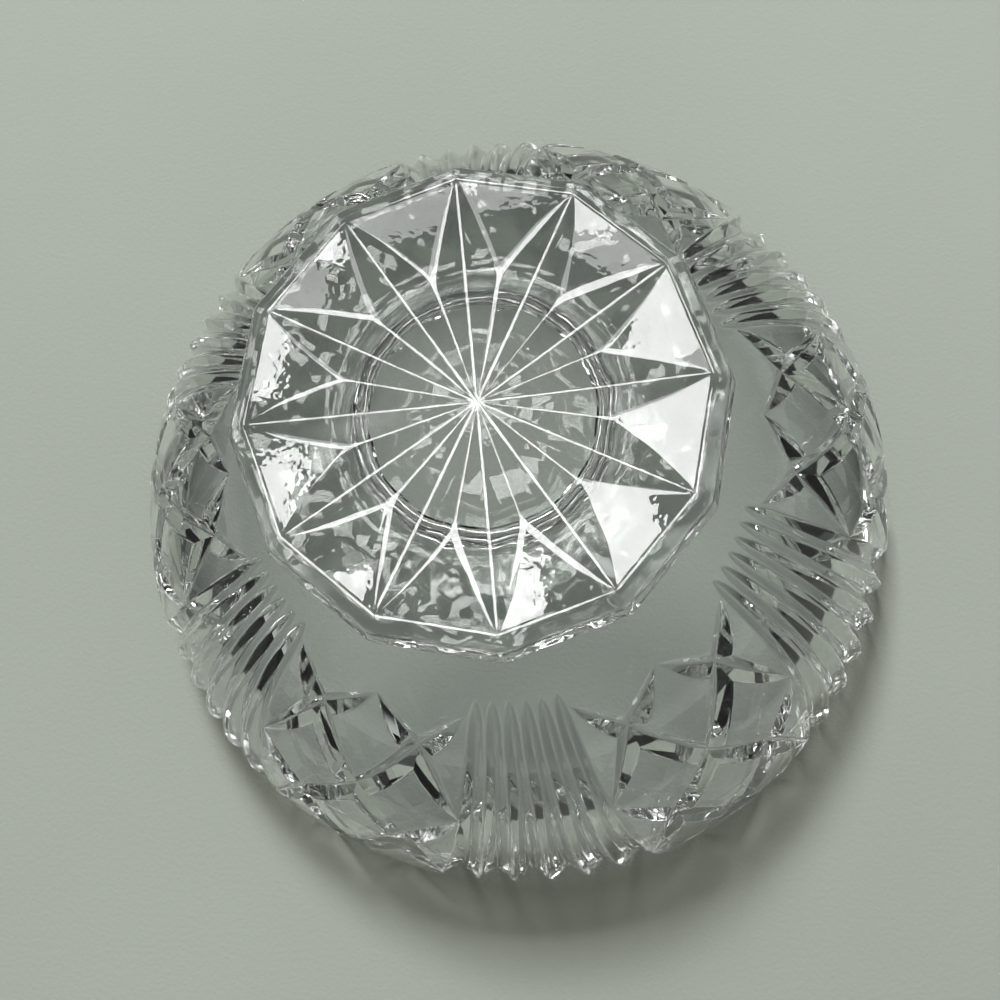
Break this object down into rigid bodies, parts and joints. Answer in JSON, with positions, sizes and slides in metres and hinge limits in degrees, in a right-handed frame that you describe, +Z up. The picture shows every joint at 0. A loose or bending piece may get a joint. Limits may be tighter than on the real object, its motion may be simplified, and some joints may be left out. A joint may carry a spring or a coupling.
{
  "type": "pedestal centerpiece bowl",
  "caption": "Clear cut-crystal half-ball bowl with fanned flute panels and crossed diamond panels, on a low polygonal pedestal foot with a star cut underneath.",
  "frame": {"origin": "middle of the plane that the foot rests on", "axes": "+Z up along the bowl's axis towards the rim; +X through the middle of a flute panel"},
  "size_m": [0.21, 0.21, 0.125],
  "materials": {
    "bowl_crystal": "polished clear crystal, wheel-cut outside",
    "foot_crystal": "polished clear crystal, star-cut underneath",
    "bond_adhesive": "clear cured adhesive"
  },
  "bodies": {
    "root": {"bowl": "bowl_crystal", "pedestal_foot": "foot_crystal", "bond_film": "bond_adhesive"}
  },
  "joints": []
}
